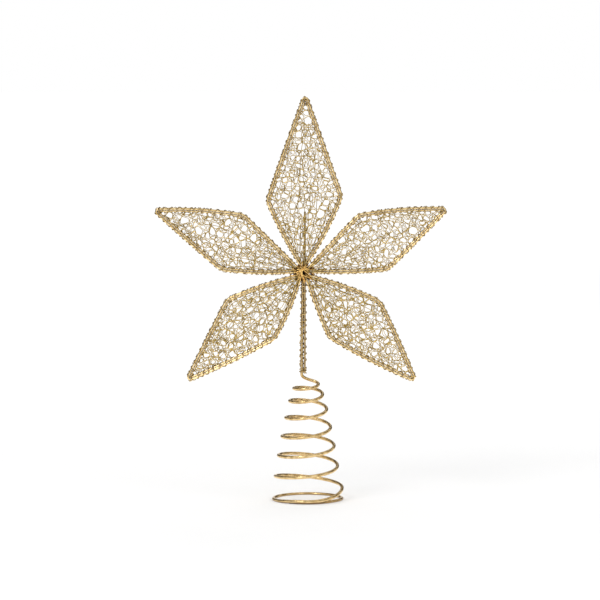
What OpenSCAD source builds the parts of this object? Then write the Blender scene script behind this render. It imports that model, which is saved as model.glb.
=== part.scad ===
// Flower tree topper: five wire petals round a hub, on a stem that a conical spring carries.
// Lengths are in millimetres and angles in degrees.
// The flower faces -Y, +Z is up, and the origin is the middle of the foot.

/* [Spring] */
// diameter of the spring and stem wire
wire_d = 2.2; // [1.8:0.1:2.4]
// centreline radius of the flat base turn
base_r = 25.4; // [22:0.2:30]
// centreline radius of the smallest turn
top_r = 8.4; // [7.4:0.1:10]
// height from the base turn to the smallest turn
spring_rise = 86.5; // [75:0.5:100]
// share of the pitch that the coil loses towards the top
pitch_fade = 0.35; // [0.1:0.01:0.5]
// height by which the front of a turn leans below its middle
turn_lean = 1.6; // [0:0.1:2]
// distance of the coil axis to the right of the stem
coil_shift = 2.9; // [1:0.1:4]
// depth of the flat ground under the base turn
ground = 0.5; // [0.3:0.05:0.6]

/* [Stem] */
// height from the smallest turn to the foot of the stem
lead_rise = 7.7; // [7:0.1:10]
// height from the foot of the stem to the hub
stem_length = 77.2; // [65:0.1:95]
// height of the stem rod above the hub
rod_above_hub = 46; // [30:1:60]
// diameter of the wire that binds the stem
stem_bind_d = 0.6; // [0.4:0.05:0.7]
// loops of the stem binding
stem_loops = 10; // [6:1:12]

/* [Hub] */
// diameter of the wire that binds the hub
hub_bind_d = 0.5; // [0.4:0.05:0.55]
// radius that the hub binding reaches
hub_bind_r = 8; // [7.5:0.1:8.6]

/* [Petals] */
// angle from one petal to the next
petal_step = 67; // [65:0.5:69]
// diameter of the frame wire
frame_d = 1.6; // [1.3:0.05:1.8]
// reach of the top petal to its sharp tip
top_reach = 135; // [120:1:150]
// reach of the top petal to its shoulders
top_shoulder = 56.4; // [50:0.1:62]
// half width of the top petal at its shoulders
top_half = 28.2; // [24:0.1:29]
// reach of a side petal to its sharp tip
side_reach = 122; // [108:1:136]
// reach of a side petal to its shoulders
side_shoulder = 57.6; // [52:0.1:64]
// half width of a side petal at its shoulders
side_half = 22.8; // [19:0.1:24]
// reach of a low petal to its sharp tip
low_reach = 119; // [105:1:132]
// reach of a low petal to its outer shoulder
low_outer_shoulder = 56; // [51:0.1:60]
// half width of a low petal at its outer shoulder
low_outer_half = 24.7; // [21:0.1:25.4]
// reach of a low petal to its inner shoulder
low_inner_shoulder = 48.7; // [46:0.1:54]
// half width of a low petal at its inner shoulder
low_inner_half = 21; // [18:0.1:22]
// centreline radius of the shoulder bends
shoulder_bend = 9; // [6:0.5:12]
// centreline radius of the tip bend
tip_bend = 2; // [1.9:0.1:3]
// centreline radius of the root bend
root_bend = 1.5; // [1.3:0.1:1.8]
// bare length of each frame leg at the hub
root_clear = 6.5; // [6:0.1:10]

/* [Lashing and net] */
// diameter of the wire wound round a frame
lash_d = 0.6; // [0.4:0.05:0.7]
// loops of one lashing
lash_loops = 20; // [12:2:24]
// thickness of a net
net_t = 0.6; // [0.4:0.1:1]
// width of a strand of the net
strand_w = 0.6; // [0.5:0.1:1]
// width of the edge of the net
edge_w = 0.8; // [0.6:0.1:1.2]
// spacing of the cells of the top net
top_cell = 7.9; // [7.6:0.1:10]
// spacing of the cells of the other nets
small_cell = 6.6; // [6.4:0.1:9]
// share of the spacing that a cell may wander
wander = 0.3; // [0.1:0.05:0.35]

/* [Fits] */
// gap between two wires that touch on the real object
touch_gap = 0.15; // [0.1:0.05:0.25]
// gap between neighbouring petal roots
root_gap = 0.36; // [0.3:0.02:0.6]
// distance from the hub binding to the net
net_gap = 1.1; // [0.9:0.1:2]
// distance from the foot of the stem rod to its binding
bind_gap = 4; // [3.5:0.1:6]

/* [Hidden] */
wire_r = wire_d / 2;
frame_r = frame_d / 2;
lash_r = lash_d / 2;
stem_bind_r = stem_bind_d / 2;
hub_bind_half = hub_bind_d / 2;

// rings per turn of the spring and its three lengths, in turns
turn_rings = 20;
base_steps = 16;
turns = 6.5;
lower_turns = 3;
middle_turns = 2;
lead_steps = 12;
wire_sides = 6;

// the base turn leaves the ground between these turns, counted from its left
lift_from = 0.27;
lift_to = 0.5;

// its tail curls inwards between these
tail_from = -0.5;
tail_to = -0.68;

// heights up the stem
foot_z = wire_r - ground;
coil_top_z = foot_z + spring_rise;
stem_foot_z = coil_top_z + lead_rise;
leg_foot_z = stem_foot_z + wire_d + touch_gap;
hub_z = stem_foot_z + stem_length;
leg_top_z = hub_z - touch_gap;
rod_foot_z = stem_foot_z + 3 * touch_gap;
rod_top_z = hub_z + rod_above_hub;

// depth of the hub binding, and the stem behind it
hub_bind_y = frame_r + 2.4 * touch_gap + hub_bind_half;
stem_y = hub_bind_y + hub_bind_half + touch_gap + wire_r;
stem_x = wire_r + touch_gap / 2;

// ring of the petal roots round the hub
root_ring = (root_bend + frame_r + root_gap / 2) / sin(petal_step / 2);
hub_hole = root_ring - root_bend - frame_r;
hub_bind_in = hub_hole - touch_gap - hub_bind_half;

// lashing round a frame: the flats of its loops clear the wire
loop_rings = 6;
tip_rings = 12;
lash_sides = 4;
lash_path_r = (frame_r + touch_gap + lash_r) / cos(180 / loop_rings);
lash_reach = lash_path_r + lash_r;

// net inside the lashing
net_inset = lash_reach + touch_gap;
net_root = hub_bind_r + hub_bind_half + net_gap;

// petals: turn from upright, reach, [half width, reach] of the shoulder on the clockwise side and on
// the other side, cell spacing, seed of the net
top_side = [top_half, top_shoulder];
side_side = [side_half, side_shoulder];
low_outer = [low_outer_half, low_outer_shoulder];
low_inner = [low_inner_half, low_inner_shoulder];
top_petal = [0, top_reach, top_side, top_side, top_cell, 11];
right_petal = [petal_step, side_reach, side_side, side_side, small_cell, 23];
left_petal = [-petal_step, side_reach, side_side, side_side, small_cell, 37];
low_right_petal = [2 * petal_step, low_reach, low_inner, low_outer, small_cell, 41];
low_left_petal = [-2 * petal_step, low_reach, low_outer, low_inner, small_cell, 59];

// tubes along a list of points

function unit(v) = v / norm(v);

function square_to(v, t) = unit(v - (v * t) * t);

function tangents(pts) = let (n = len(pts)) [
    for (i = [0 : n - 1]) unit(pts[min(i + 1, n - 1)] - pts[max(i - 1, 0)])
];

// one ring of corners round p, with its first corner turned by spin from the direction ref
function ring(p, t, ref, r, sides, spin) = let (n = square_to(ref, t), b = cross(t, n)) [
    for (k = [0 : sides - 1])
        let (a = spin + 360 * k / sides) p + r * (cos(a) * n + sin(a) * b)
];

function rings(pts, refs, r, sides, spin = 0) = let (t = tangents(pts)) [
    for (i = [0 : len(pts) - 1]) ring(pts[i], t[i], refs[i], r, sides, spin)
];

// directions carried along a path without turning round it
function carried(t, first) = [
    for (i = 0, v = square_to(first, t[0]);
        i < len(t);
        i = i + 1, v = i < len(t) ? square_to(v, t[i]) : v) v
];

// a straight end, one wire diameter long, at both ends of a path
function with_ends(pts, d) = let (n = len(pts)) concat(
    [pts[0] + d * unit(pts[0] - pts[1])],
    pts,
    [pts[n - 1] + d * unit(pts[n - 1] - pts[n - 2])]
);

function doubled_ends(list) = concat([list[0]], list, [list[len(list) - 1]]);

// least gap between lengths of one wire that lie at least skip points apart
function least_gap(pts, skip, d) = min([
    for (i = [0 : len(pts) - 1 - skip])
        for (j = [i + skip : len(pts) - 1]) norm(pts[i] - pts[j])
]) - d;

module tube(rs, closed = false) {
    n = len(rs[0]);
    m = len(rs);
    last = closed ? m - 1 : m - 2;
    sides = [
        for (i = [0 : last])
            for (k = [0 : n - 1])
                let (a = i * n + k, b = i * n + (k + 1) % n)
                    let (c = ((i + 1) % m) * n + (k + 1) % n, d = ((i + 1) % m) * n + k)
                        each [[a, c, b], [a, d, c]]
    ];
    caps = closed ? [] : [
        for (k = [1 : n - 2])
            each [[0, k, k + 1], [(m - 1) * n, (m - 1) * n + k + 1, (m - 1) * n + k]]
    ];
    polyhedron(points = [for (r = rs) each r], faces = concat(sides, caps), convexity = 10);
}

// spring

function eased(t) = t <= 0 ? 0 : t >= 1 ? 1 : t * t * (3 - 2 * t);

function coil_r(u) = base_r
    - (base_r - top_r) * max(u - lift_to, 0) / (turns - lift_to)
    - (wire_d + 3 * touch_gap) * eased((u - tail_from) / (tail_to - tail_from));

function coil_z(u) = let (v = max(u, 0) / turns)
    foot_z + spring_rise * ((1 + pitch_fade) * v - pitch_fade * v * v)
        * eased((u - lift_from) / (lift_to - lift_from))
        - turn_lean * sin(360 * u) * eased(u - lift_to);

function coil_point(u) = [
    coil_shift + coil_r(u) * cos(180 + 360 * u),
    coil_r(u) * sin(180 + 360 * u),
    coil_z(u)
];

function bezier(a, b, c, d, t) =
    pow(1 - t, 3) * a + 3 * t * pow(1 - t, 2) * b + 3 * t * t * (1 - t) * c + pow(t, 3) * d;

coil_steps = base_steps + turns * turn_rings;
coil_path = [for (i = [0 : coil_steps]) coil_point((i - base_steps) / turn_rings)];
lead_from = coil_point(turns);
lead_dir = unit(coil_point(turns + 0.01) - coil_point(turns - 0.01));
lead_to = [-stem_x, stem_y, stem_foot_z];
lead_path = [
    for (i = [1 : lead_steps]) bezier(
        lead_from,
        lead_from + lead_dir * (top_r - wire_r),
        lead_to - [0, 0, 0.75 * lead_rise],
        lead_to,
        i / lead_steps
    )
];
spring_path = concat(
    [coil_path[0] + wire_d * unit(coil_path[0] - coil_path[1])],
    coil_path,
    lead_path,
    [lead_to + [0, 0, wire_d]]
);
spring_refs = carried(tangents(spring_path), [0, 0, 1]);
spring_rings = [
    for (r = rings(spring_path, spring_refs, wire_r, wire_sides, 180 / wire_sides))
        [for (p = r) [p[0], p[1], max(p[2], 0)]]
];
lower_end = 1 + base_steps + lower_turns * turn_rings;
middle_end = lower_end + middle_turns * turn_rings;

module spring_length(from, to) {
    color("goldenrod") tube([for (i = [from : to]) spring_rings[i]]);
}

module spring_lower() {
    spring_length(0, lower_end);
}

module spring_middle() {
    spring_length(lower_end, middle_end);
}

module spring_upper() {
    spring_length(middle_end, len(spring_rings) - 1);
}

// stem

module stem_wire(x, from, to) {
    color("goldenrod")
        translate([x, stem_y, from])
            cylinder(h = to - from, r = wire_r, $fn = 32);
}

module spring_leg() {
    stem_wire(-stem_x, leg_foot_z, leg_top_z);
}

module stem_rod() {
    stem_wire(stem_x, rod_foot_z, rod_top_z);
}

stem_loop_rings = 8;
stem_bind_path_r = (wire_r + touch_gap + stem_bind_r) / cos(180 / stem_loop_rings);
stem_bind_from = rod_foot_z + bind_gap;
stem_bind_to = hub_z - net_root - root_clear;
stem_bind_angles = [
    for (i = [0 : stem_loops * stem_loop_rings]) (i + 0.5) * 360 / stem_loop_rings
];
stem_bind_path = with_ends([
    for (a = stem_bind_angles) [
        (cos(a) > 0 ? stem_x : -stem_x) + stem_bind_path_r * cos(a),
        stem_y + stem_bind_path_r * sin(a),
        stem_bind_from + (stem_bind_to - stem_bind_from) * a / (360 * stem_loops + 45)
    ]
], stem_bind_d);
stem_bind_refs = doubled_ends([for (a = stem_bind_angles) [cos(a), sin(a), 0]]);

module stem_binding() {
    color("darkgoldenrod")
        tube(rings(stem_bind_path, stem_bind_refs, stem_bind_r, 4, 45));
}

// hub: ten loops laced through the middle and out past each petal root and each gap

hub_angles = [0, 0.5, 1, 1.5, 2, 0, -2, -1.5, -1, -0.5, 0];
hub_loops = len(hub_angles) - 1;
hub_loop_rings = 10;

function hub_turn(i) = i == 5 ? 180 : i > 5 ? 360 + hub_angles[i] * petal_step : hub_angles[i] * petal_step;

function bent(v) = sign(v) * pow(abs(v), 0.6);

function hub_point(t) = let (
    i = min(floor(t), hub_loops - 1),
    turn = hub_turn(i) + (t - i) * (hub_turn(i + 1) - hub_turn(i)),
    reach = (hub_bind_r + hub_bind_in) / 2 + (hub_bind_r - hub_bind_in) / 2 * bent(cos(360 * t))
) [reach * sin(turn), hub_bind_y * bent(sin(360 * t)), hub_z + reach * cos(turn)];

hub_steps = (hub_loops - 0.5) * hub_loop_rings;
hub_path = with_ends([for (i = [0 : hub_steps]) hub_point(i / hub_loop_rings)], hub_bind_d);
hub_refs = carried(tangents(hub_path), [0, -1, 0]);

module hub_binding() {
    color("darkgoldenrod")
        tube(rings(hub_path, hub_refs, hub_bind_half, 4, 45));
}

// petals: a kite from a root bend at the hub, over two shoulder bends, to a tip bend.
// These functions take the clockwise side, and the other side is that of the petal turned over.

function turned_over(p) = [p[0], p[1], p[3], p[2], p[4], p[5]];

function flipped(v) = [-v[0], v[1]];

function tip_half(p) = atan2(p[2][0], p[1] - p[2][1]);

function root_half(p) = let (v = p[2] - [0, root_ring])
    atan2(v[0], v[1]) - asin(root_bend / norm(v));

// a point that lies d inside both edges at the tip
function in_tip(p, d) = let (a = tip_half(p), b = tip_half(turned_over(p)))
    [0, p[1]] + d / sin((a + b) / 2) * [sin((a - b) / 2), -cos((a - b) / 2)];

function shoulder_centre(p) = let (a = tip_half(p), b = root_half(p))
    p[2] - shoulder_bend / cos((a + b) / 2) * [cos((a - b) / 2), sin((a - b) / 2)];

function on_bend(c, r, a) = c + r * [sin(a), cos(a)];

// the bends of the clockwise side from its tip: centre, radius, first and last direction
function side_bends(p) = let (a = tip_half(p), b = root_half(p)) [
    [in_tip(p, tip_bend), tip_bend, 0, 90 - a],
    [shoulder_centre(p), shoulder_bend, 90 - a, 90 + b],
    [[0, root_ring], root_bend, 90 + b, 180]
];

function bends(p) = let (other = side_bends(turned_over(p))) concat(
    side_bends(p),
    [for (i = [2 : -1 : 0]) let (q = other[i]) [flipped(q[0]), q[1], 360 - q[3], 360 - q[2]]]
);

bend_steps = [3, 5, 3, 3, 5, 3];
frame_sides = 8;

function frame_rings(p) = let (all = bends(p)) [
    for (i = [0 : 5])
        for (k = [(i == 3 ? 1 : 0) : bend_steps[i] - (i == 5 ? 1 : 0)])
            let (q = all[i], a = q[2] + (q[3] - q[2]) * k / bend_steps[i])
                let (c = on_bend(q[0], q[1], a))
                    ring([c[0], 0, c[1]], [cos(a), 0, -sin(a)], [0, 1, 0], frame_r, frame_sides, 0)
];

// lengths of the tip bend, the long edge, the shoulder bend and the short edge of one side
function arc_len(r, a) = r * a * PI / 180;

function side_lengths(q) = [
    arc_len(q[0][1], q[0][3]),
    norm(on_bend(q[0][0], q[0][1], q[0][3]) - on_bend(q[1][0], q[1][1], q[1][2])),
    arc_len(q[1][1], q[1][3] - q[1][2]),
    norm(on_bend(q[1][0], q[1][1], q[1][3]) - on_bend(q[2][0], q[2][1], q[2][2]))
];

function lashed(q) = side_lengths(q) * [1, 1, 1, 1] - root_clear;

// place and outward direction at a distance s from the tip along one side
function side_at(q, l, s) =
    s < l[0] ? let (d = q[0][3] * s / l[0]) [on_bend(q[0][0], q[0][1], d), d]
    : s < l[0] + l[1] ? let (d = q[0][3])
        [on_bend(q[0][0], q[0][1], d) + (s - l[0]) * [cos(d), -sin(d)], d]
    : s < l[0] + l[1] + l[2] ? let (d = q[1][2] + (q[1][3] - q[1][2]) * (s - l[0] - l[1]) / l[2])
        [on_bend(q[1][0], q[1][1], d), d]
    : let (d = q[1][3])
        [on_bend(q[1][0], q[1][1], d) + (s - l[0] - l[1] - l[2]) * [cos(d), -sin(d)], d];

// turns of the winding, from the end of the other side, over the tip, to the end of this side
function lash_angles(here, there) = let (step = 360 / loop_rings, fine = 360 / tip_rings) concat(
    [for (i = [-floor(there * loop_rings) : -loop_rings - 1]) i * step],
    [for (i = [-tip_rings : tip_rings]) i * fine],
    [for (i = [loop_rings + 1 : floor(here * loop_rings)]) i * step]
);

// [core point, outward direction] of each ring of one lashing
function lash_rings(p) = let (
    q = side_bends(p),
    o = side_bends(turned_over(p)),
    ql = side_lengths(q),
    ol = side_lengths(o),
    pitch = (lashed(q) + lashed(o)) / lash_loops
) [
    for (a = lash_angles(lashed(q) / pitch, lashed(o) / pitch))
        let (
            at = a < 0 ? side_at(o, ol, -a / 360 * pitch) : side_at(q, ql, a / 360 * pitch),
            side = a < 0 ? -1 : 1,
            d = at[1]
        ) [
            [side * at[0][0], 0, at[0][1]],
            [cos(a) * side * sin(d), sin(a), cos(a) * cos(d)]
        ]
];

function lash_path(p) = with_ends([for (r = lash_rings(p)) r[0] + lash_path_r * r[1]], lash_d);

function lash_refs(p) = doubled_ends([for (r = lash_rings(p)) r[1]]);

module at_petal(p) {
    translate([0, 0, hub_z])
        rotate([0, p[0], 0])
            children();
}

module frame(p) {
    color("goldenrod") at_petal(p) tube(frame_rings(p), closed = true);
}

module lashing(p) {
    color("darkgoldenrod")
        at_petal(p) tube(rings(lash_path(p), lash_refs(p), lash_r, lash_sides, 45));
}

// net: an outline inside the lashing, less one cell round each of a field of wandering points

function root_edge_x(p, d, z) = let (b = root_half(p))
    (root_bend - d + (z - root_ring) * sin(b)) / cos(b);

function net_side(p, d, root) = let (q = side_bends(p)[1]) concat(
    [for (k = [0 : 5]) on_bend(q[0], q[1] - d, q[2] + (q[3] - q[2]) * k / 5)],
    [[root_edge_x(p, d, root), root]]
);

// clockwise, from the tip
function net_outline(p, d, root) = let (
    here = net_side(p, d, root),
    there = net_side(turned_over(p), d, root)
) concat(
    [in_tip(p, d)],
    here,
    [for (i = [len(there) - 1 : -1 : 0]) flipped(there[i])]
);

// depth of a point inside a clockwise outline
function depth_in(outline, v) = let (n = len(outline)) min([
    for (i = [0 : n - 1])
        let (a = outline[i], e = unit(outline[(i + 1) % n] - a)) (v - a) * [e[1], -e[0]]
]);

function wandering(p, outline) = let (
    pitch = p[4],
    rows = ceil((p[1] - net_root) / (pitch * 0.87)),
    across = ceil((p[2][0] + p[3][0]) / pitch) + 1,
    jump = rands(-1, 1, 2 * rows * (across + 1), p[5])
) [
    for (i = [0 : rows - 1])
        for (j = [0 : across])
            let (k = 2 * (i * (across + 1) + j))
                let (x = (j - across / 2 + (i % 2) / 2) * pitch + wander * pitch * jump[k])
                    let (z = net_root + (i + 0.6) * pitch * 0.87 + wander * pitch * jump[k + 1])
                        if (depth_in(outline, [x, z]) > strand_w) [x, z]
];

// the part of a polygon on the near side of a line
function clipped(poly, dir, far) = let (n = len(poly)) n == 0 ? [] : [
    for (i = [0 : n - 1])
        let (a = poly[i], b = poly[(i + 1) % n], da = a * dir - far, db = b * dir - far)
            each concat(
                da <= 0 ? [a] : [],
                da * db < 0 ? [a + (b - a) * da / (da - db)] : []
            )
];

function cell(poly, v, all, i = 0) = i >= len(all) ? poly
    : all[i] == v || norm(all[i] - v) > 6 * small_cell ? cell(poly, v, all, i + 1)
    : let (dir = unit(all[i] - v))
        cell(clipped(poly, dir, (v + all[i]) / 2 * dir - strand_w / 2), v, all, i + 1);

function tidy(poly) = let (n = len(poly)) [
    for (i = [0 : n - 1]) if (norm(poly[i] - poly[(i + 1) % n]) > strand_w / 5) poly[i]
];

function area(poly) = let (n = len(poly)) n < 3 ? 0 : abs(0.5 * [
    for (i = [0 : n - 1]) let (a = poly[i], b = poly[(i + 1) % n]) a[0] * b[1] - a[1] * b[0]
] * [for (i = [0 : n - 1]) 1]);

function net_cells(p) = let (
    inner = net_outline(p, net_inset + edge_w, net_root + edge_w),
    points = wandering(p, inner)
) [
    for (v = points) let (c = tidy(cell(inner, v, points))) if (area(c) > 0.1 * p[4] * p[4]) c
];

module net(p) {
    color("gold")
        at_petal(p)
            rotate([90, 0, 0])
                linear_extrude(height = net_t, center = true)
                    difference() {
                        polygon(net_outline(p, net_inset, net_root));
                        for (c = net_cells(p)) polygon(c);
                    }
}

module frame_top() {
    frame(top_petal);
}

module frame_right() {
    frame(right_petal);
}

module frame_left() {
    frame(left_petal);
}

module frame_low_right() {
    frame(low_right_petal);
}

module frame_low_left() {
    frame(low_left_petal);
}

module lashing_top() {
    lashing(top_petal);
}

module lashing_right() {
    lashing(right_petal);
}

module lashing_left() {
    lashing(left_petal);
}

module lashing_low_right() {
    lashing(low_right_petal);
}

module lashing_low_left() {
    lashing(low_left_petal);
}

module net_top() {
    net(top_petal);
}

module net_right() {
    net(right_petal);
}

module net_left() {
    net(left_petal);
}

module net_low_right() {
    net(low_right_petal);
}

module net_low_left() {
    net(low_left_petal);
}

echo("least gap of the spring to itself", least_gap(spring_path, 8, wire_d));
echo("least gap of the stem binding to itself", least_gap(stem_bind_path, 3, stem_bind_d));
echo("least gap of the hub binding to itself", least_gap(hub_path, 4, hub_bind_d));
echo("least gap of the top lashing to itself", least_gap(lash_path(top_petal), 4, lash_d));
echo("least gap of a side lashing to itself", least_gap(lash_path(right_petal), 4, lash_d));
echo("least gap of a low lashing to itself", least_gap(lash_path(low_right_petal), 4, lash_d));
echo("cells of the nets", [
    for (p = [top_petal, right_petal, left_petal, low_right_petal, low_left_petal]) len(net_cells(p))
]);

spring_lower();
spring_middle();
spring_upper();
spring_leg();
stem_rod();
stem_binding();
hub_binding();
frame_top();
frame_right();
frame_left();
frame_low_right();
frame_low_left();
lashing_top();
lashing_right();
lashing_left();
lashing_low_right();
lashing_low_left();
net_top();
net_right();
net_left();
net_low_right();
net_low_left();
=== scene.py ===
"""Looks of a flower tree topper: smooth wires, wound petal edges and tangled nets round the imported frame."""

import math

import bpy
import numpy as np
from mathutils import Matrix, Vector


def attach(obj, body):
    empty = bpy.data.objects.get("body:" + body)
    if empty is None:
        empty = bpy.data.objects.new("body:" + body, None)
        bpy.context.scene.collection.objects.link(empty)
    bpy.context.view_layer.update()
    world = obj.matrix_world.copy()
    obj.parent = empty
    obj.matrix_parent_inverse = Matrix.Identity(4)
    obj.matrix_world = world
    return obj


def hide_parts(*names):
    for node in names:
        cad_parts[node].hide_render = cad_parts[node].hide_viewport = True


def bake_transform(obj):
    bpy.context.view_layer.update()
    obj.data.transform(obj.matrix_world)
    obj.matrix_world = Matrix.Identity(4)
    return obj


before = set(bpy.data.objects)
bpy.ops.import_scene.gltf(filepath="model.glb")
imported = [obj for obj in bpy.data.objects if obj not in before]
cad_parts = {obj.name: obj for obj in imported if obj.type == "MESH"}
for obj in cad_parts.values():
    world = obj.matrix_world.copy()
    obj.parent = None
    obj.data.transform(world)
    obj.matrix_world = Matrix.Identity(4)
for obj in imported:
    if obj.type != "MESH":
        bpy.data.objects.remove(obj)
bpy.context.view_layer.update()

MM = 0.001
TAU = 2 * math.pi
TO_VIEWER = np.array([0.0, -1.0, 0.0])

# Sizes of the part are in millimetres. First the radii of its thick wires.
WIRE_R = 1.1
COIL_R = 1.27
ROD_R = 0.75
FRAME_R = 0.86

# Sides of the wires' round sections.
THICK_SIDES = 16
FRAME_SIDES = 12
EDGE_SIDES = 10
WRAP_SIDES = 8
NET_SIDES = 6

# Coil: a cone of turns on a flat base turn. Places along it are in turns, from the left of the base turn.
FOOT_Z = 0.6
BASE_R = 25.4
TOP_R = 8.4
COIL_SHIFT = 2.9
SPRING_RISE = 86.5
PITCH_FADE = 0.35
TURNS = 6.5
SPLITS = (3.0, 5.0)
RINGS_PER_TURN = 72

# Base turn: it starts with a tail that steps in, and the first turn lies over the tail and then lifts off.
BASE_TURN = 0.83
TAIL = (-0.46, -0.64)
TAIL_IN = 2.65
TAIL_END = 2 * WIRE_R
OVER_TAIL = 1.5
OVER_FROM = (0.02, 0.22)
OVER_TO = (0.3, 0.55)
LIFT = (0.26, 0.54)
FOOT_WIDE = 0.5
FOOT_SHIFT = 0.6
FOOT_FADE = (0.3, 1.5)

# Rising turns: they swell half way up, lean down to the front, and the upper ones are pulled up.
TAPER_FROM = 0.5
BELLY = 0.7
TURN_LEAN = 1.75
LEAN_FROM = (0.5, 1.5)
LEAN_HALVED = (5.3, 6.1)
PULLED_UP = 2.45
PULL_FROM = (2.9, 5.1)
PULL_LOST = 0.68
PULL_TO = (5.7, 6.5)

# Lead from the coil's top to the stem's foot, with a straight end.
LEAD_RISE = 7.7
LEAD_RINGS = 40
LEAD_ENDS = (1.0, 2.0)

# Stem: the leg of the coil's wire, and a rod beside it. The leg leans to the rod and behind it.
STEM_FOOT_Z = FOOT_Z + SPRING_RISE + LEAD_RISE
STEM_X = 1.175
STEM_Y = 2.91
HUB_Z = STEM_FOOT_Z + 77.2
LEG_FOOT_Z = STEM_FOOT_Z + 2.35
LEG_TOP_Z = HUB_Z - 0.15
LEG_LEAN = (0.7, 1.1)
LEG_LEAN_SPAN = (STEM_FOOT_Z + 12, STEM_FOOT_Z + 62)
LEG_RINGS = 60
ROD_FOOT_Z = STEM_FOOT_Z + 0.45
ROD_TOP_Z = HUB_Z + 46
ROD_RINGS = 90

# Bindings of the stem: turns, lower and upper end, whether it goes round the rod too, slack at the leg, seed.
BINDINGS = ((15, 95.7, 167.5, True, 0.3, 1), (19, 96.6, 168.0, False, 0.04, 2))
BINDING_R = 0.34
BINDING_RINGS = 28
BINDING_SPREAD = (0.7, 1.3)
BINDING_CLOSE = 0.35
ROD_SLACK = 0.1

# Petals: reach, and (half width, reach) of the clockwise shoulder and of the other one, as in the plan. Then
# the turn from upright and the same three as the wire was bent by hand, how far its sides bow out between
# tip and shoulder and between shoulder and root, the radius of its net's wire, and the seed of its draws.
SIDE = (22.8, 57.6)
OUTER = (24.7, 56.0)
INNER = (21.0, 48.7)
PETALS = {
    "top": dict(reach=135.0, here=(28.2, 56.4), there=(28.2, 56.4),
                bent_turn=0.6, bent_reach=135.0, bent_here=(28.5, 57.6), bent_there=(28.1, 53.8),
                bow_here=(0.0, 1.5), bow_there=(0.2, 1.0), net_r=0.30, seed=11),
    "right": dict(reach=122.0, here=SIDE, there=SIDE,
                  bent_turn=65.9, bent_reach=120.3, bent_here=(24.1, 58.9), bent_there=(23.0, 55.6),
                  bow_here=(0.3, 1.0), bow_there=(1.6, 0.2), net_r=0.30, seed=23),
    "left": dict(reach=122.0, here=SIDE, there=SIDE,
                 bent_turn=-67.1, bent_reach=123.7, bent_here=(22.9, 58.2), bent_there=(22.3, 57.6),
                 bow_here=(1.7, 0.1), bow_there=(0.3, 1.4), net_r=0.30, seed=37),
    "low_right": dict(reach=119.0, here=INNER, there=OUTER,
                      bent_turn=134.1, bent_reach=119.6, bent_here=(21.8, 47.6), bent_there=(25.0, 56.4),
                      bow_here=(1.4, 0.4), bow_there=(0.6, 1.6), net_r=0.34, seed=41),
    "low_left": dict(reach=119.0, here=OUTER, there=INNER,
                     bent_turn=-133.0, bent_reach=122.0, bent_here=(24.7, 55.6), bent_there=(22.1, 49.8),
                     bow_here=(0.2, 1.2), bow_there=(1.0, 1.5), net_r=0.34, seed=59),
}
TIP_BEND = 2.0
SHOULDER_BEND = 9.0
ROOT_BEND = 1.5
ROOT_RING = 4.493
BOW_SHORT = 4.0
LOOP_STEP = 0.9
BEND_STEP = 0.18

# Strand inside each frame: its radius, how far inside it runs, where it starts from the hub, its waves.
EDGE_R = 0.64
EDGE_IN = 1.65
EDGE_FROM = ROOT_RING + 1.4
EDGE_WAVE = 0.12
EDGE_WAVE_STEP = 6

# Windings of a lashing: wire radius, length of a turn, hand, least slack.
WINDINGS = ((0.33, 4.2, 1, 0.03), (0.22, 6.4, -1, 0.22))
LASH_FROM = ROOT_RING + 4.5
LASH_RINGS = 24
LASH_SPREAD = (0.55, 1.5)
LASH_LOOSE = 0.12
LASH_LOOSE_STEP = 0.7 * LASH_RINGS

# Cells of a net: least and largest radius, throws and most cells per square millimetre.
CELLS = ((2.4, 3.2, 0.5, 0.0045), (1.5, 2.3, 2.5, 0.04), (0.9, 1.4, 8.0, 0.13))
CELL_PACKING = 0.93
CELL_REACH = 9.0
CELL_NEIGHBOURS = 24
CELL_STEP = 0.5
CELL_POINTS = 12
CORNER_CUTS = (0.18, 0.25, 0.25)
CELL_DEPTH = 0.3
CELL_SPREAD = (0.8, 1.2)
NET_FROM = 10.0
NET_CLEAR = 0.4
NET_TILT = 0.1
WARP = 0.3
WARP_WAVES = 6
WARP_LENGTHS = (4.5, 11.0)
WARP_CALM = 2.5

# Loops in front of the cells and behind them: least and largest radius, throws per square millimetre.
LOOPS = (1.0, 2.3, 0.012)
LOOP_R = 0.24
LOOP_POINTS = 21
LOOP_SQUEEZE = (0.6, 1.0)
LOOP_DEPTH = 0.55

# Strands that fan out from the hub through a net. Their depths are given at three distances from the hub.
STRANDS = 9
STRAND_R = 0.26
STRAND_FROM = 3.2
STRAND_REACH = (0.25, 0.9)
STRAND_STEP = 0.6
STRAND_INSET = 3.5
STRAND_STRAY = 0.3
STRAND_WAVE = 0.9
STRAND_WAVE_STEP = 9
STRAND_WAVE_FULL = 20
STRAND_POINTS = 9
STRAND_DEPTHS = ((3, 9, 30), (1.25, 0.8, 0.5))
STRAND_FREE = 14.0
STRAND_OUT = 0.4

# Lacing of the hub: the angles at which it goes out, over the petals' roots and between them, and how far.
HUB_SEED = 71
LACE_TURNS = np.array([0, 33.5, 67, 100.5, 134, 180, 226, 259.5, 293, 326.5])
LACE_REACHES = np.array([9.0, 6.0, 9.5, 9.5, 9.5, 9.0, 9.5, 10.0, 9.5, 8.2])
LACE_ROUNDS = 3
LACE_SPREAD = (0.7, 1.04)
LACE_IN = 1.2
LACE_DEPTH = 1.35
LACE_WAVE = 0.25
LACE_WAVE_STEP = 9
LACE_FLATTENED = 0.6
LACE_SMOOTHED = 5
LACE_RINGS = 22
LACE_R = 0.32

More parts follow.
